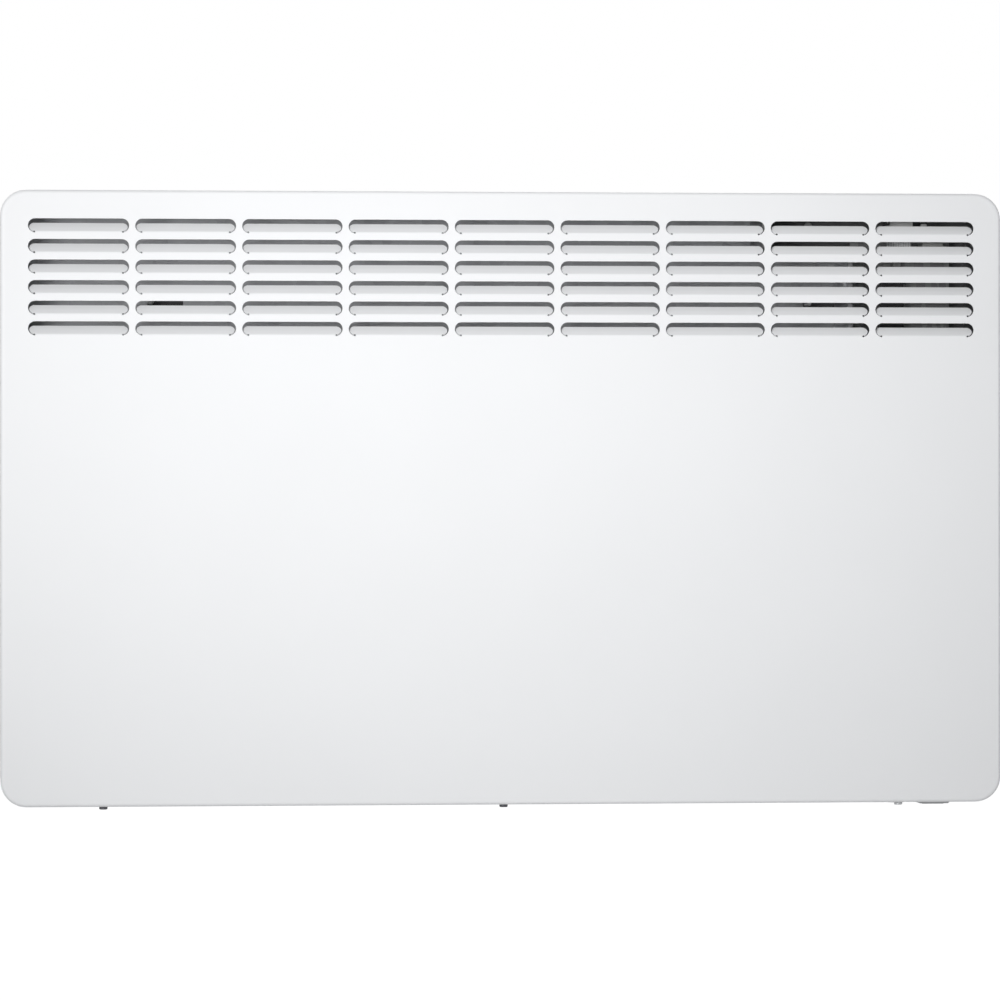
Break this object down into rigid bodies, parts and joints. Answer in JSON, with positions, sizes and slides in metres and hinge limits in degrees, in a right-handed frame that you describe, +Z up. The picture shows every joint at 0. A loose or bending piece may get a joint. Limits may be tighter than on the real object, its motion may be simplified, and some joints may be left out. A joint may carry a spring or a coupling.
{
  "type": "wall panel convector heater",
  "caption": "Flat white wall convector with louvred air outlets along the top, slotted floor inlet, top controls, floor switch and a hook-on wall bracket.",
  "frame": {"origin": "centre of the wall bracket's four screw holes, on the wall plane", "axes": "+X to the right as seen from the room, +Y into the wall, +Z up; the front panel faces -Y"},
  "size_m": [0.738, 0.1, 0.4548],
  "materials": {
    "casing_powder_coat": "fine textured white powder coat, satin",
    "bracket_black": "black baked enamel on folded sheet",
    "galvanised_steel": "hot-dip galvanised sheet with a fine spangle",
    "screw_blackened": "blackened pan head",
    "screw_zinc": "bright zinc plate",
    "pin_steel": "plain steel wire",
    "latch_nylon": "moulded natural nylon",
    "switch_grey": "moulded mid grey",
    "rocker_grey": "moulded dark grey, slightly glossy",
    "blade_brass": "stamped brass, tinned",
    "gland_grey": "moulded light grey",
    "housing_black": "moulded flame-retardant black",
    "fascia_white": "moulded white, fine grain",
    "window_clear": "clear polished window",
    "lcd_grey": "grey-green reflective display in its frame",
    "board_dark": "grey solder mask",
    "tact_black": "moulded black",
    "connector_white": "moulded white nylon",
    "ribbon_grey": "grey flat cable",
    "relay_black": "sealed black relay case",
    "transformer_core": "taped winding on a dark core",
    "capacitor_sleeve": "dark printed sleeve",
    "filter_grey": "grey film capacitor box",
    "terminal_ivory": "moulded ivory",
    "element_aluminium": "extruded, unanodised",
    "sheath_steel": "stainless tube, heat-tinted",
    "bushing_ceramic": "unglazed steatite",
    "rivet_aluminium": "set rivet heads",
    "cutout_phenolic": "dark phenolic body",
    "clip_nylon": "natural nylon",
    "sensor_epoxy": "dipped epoxy bead",
    "lead_brown": "silicone lead, brown",
    "lead_blue": "silicone lead, blue",
    "lead_green_yellow": "green and yellow lead",
    "lead_red": "glass-braided high-temperature lead, red",
    "lead_white": "glass-braided high-temperature lead, white",
    "lead_grey": "thin grey lead",
    "button_grey": "moulded light grey"
  },
  "bodies": {
    "bracket": {"wall_bracket": "bracket_black", "latch_pins": "pin_steel"},
    "heater": {"front_casing": "casing_powder_coat", "rear_panel": "galvanised_steel", "case_screws": "screw_blackened", "case_screw_right": "screw_zinc", "switch_body": "switch_grey", "cable_gland": "gland_grey", "control_fascia": "fascia_white", "lcd_window": "window_clear", "lcd_module": "lcd_grey", "display_board": "board_dark", "tact_switches": "tact_black", "board_connectors": "connector_white", "ribbon_lead": "ribbon_grey", "power_board": "board_dark", "board_terminals": "connector_white", "board_relays": "relay_black", "board_transformer": "transformer_core", "board_capacitors": "capacitor_sleeve", "filter_capacitor": "filter_grey", "board_screws": "screw_zinc", "terminal_block": "terminal_ivory", "earth_tag": "blade_brass", "earth_screw": "screw_zinc", "element_fins": "element_aluminium", "element_sheath": "sheath_steel", "element_pins": "pin_steel", "element_bushings": "bushing_ceramic", "element_plate_left": "galvanised_steel", "element_plate_right": "galvanised_steel", "heat_shield": "galvanised_steel", "rivets": "rivet_aluminium", "safety_cutout": "cutout_phenolic", "sensor_clip": "clip_nylon", "room_sensor": "sensor_epoxy", "lead_clips": "clip_nylon", "switch_terminals": "blade_brass", "control_housing": "housing_black", "partition_plate": "galvanised_steel", "housing_screws": "screw_zinc", "side_screen": "galvanised_steel", "live_lead": "lead_brown", "neutral_lead": "lead_blue", "earth_lead": "lead_green_yellow", "switched_live_lead": "lead_brown", "switched_neutral_lead": "lead_blue", "cutout_lead": "lead_red", "element_lead_right": "lead_red", "element_lead_left": "lead_white", "sensor_lead": "lead_grey"},
    "latch_left": {"latch_lever_left": "latch_nylon"},
    "latch_right": {"latch_lever_right": "latch_nylon"},
    "mains_rocker": {"switch_rocker": "rocker_grey"},
    "menu_key": {"button_menu": "button_grey"},
    "minus_key": {"button_minus": "button_grey"},
    "plus_key": {"button_plus": "button_grey"},
    "ok_key": {"button_ok": "button_grey"}
  },
  "joints": [
    {"name": "heater_lift", "type": "slide", "parent": "bracket", "child": "heater", "axis": [0, 0, 1], "range_m": [0, 0.005]},
    {"name": "latch_left_hinge", "type": "hinge", "parent": "bracket", "child": "latch_left", "pos_m": [-0.18, -0.012, -0.156], "axis": [1, 0, 0], "range_deg": [0, 20]},
    {"name": "latch_right_hinge", "type": "hinge", "parent": "bracket", "child": "latch_right", "pos_m": [0.18, -0.012, -0.156], "axis": [1, 0, 0], "range_deg": [0, 20]},
    {"name": "rocker_toggle", "type": "hinge", "parent": "heater", "child": "mains_rocker", "pos_m": [0.3218, -0.069, -0.2204], "axis": [1, 0, 0], "range_deg": [-18, 0]},
    {"name": "menu_press", "type": "slide", "parent": "heater", "child": "menu_key", "axis": [0, 0, -1], "range_m": [0, 0.0006], "stiffness_N_per_m": 800},
    {"name": "minus_press", "type": "slide", "parent": "heater", "child": "minus_key", "axis": [0, 0, -1], "range_m": [0, 0.0006], "stiffness_N_per_m": 800},
    {"name": "plus_press", "type": "slide", "parent": "heater", "child": "plus_key", "axis": [0, 0, -1], "range_m": [0, 0.0006], "stiffness_N_per_m": 800},
    {"name": "ok_press", "type": "slide", "parent": "heater", "child": "ok_key", "axis": [0, 0, -1], "range_m": [0, 0.0006], "stiffness_N_per_m": 800}
  ]
}
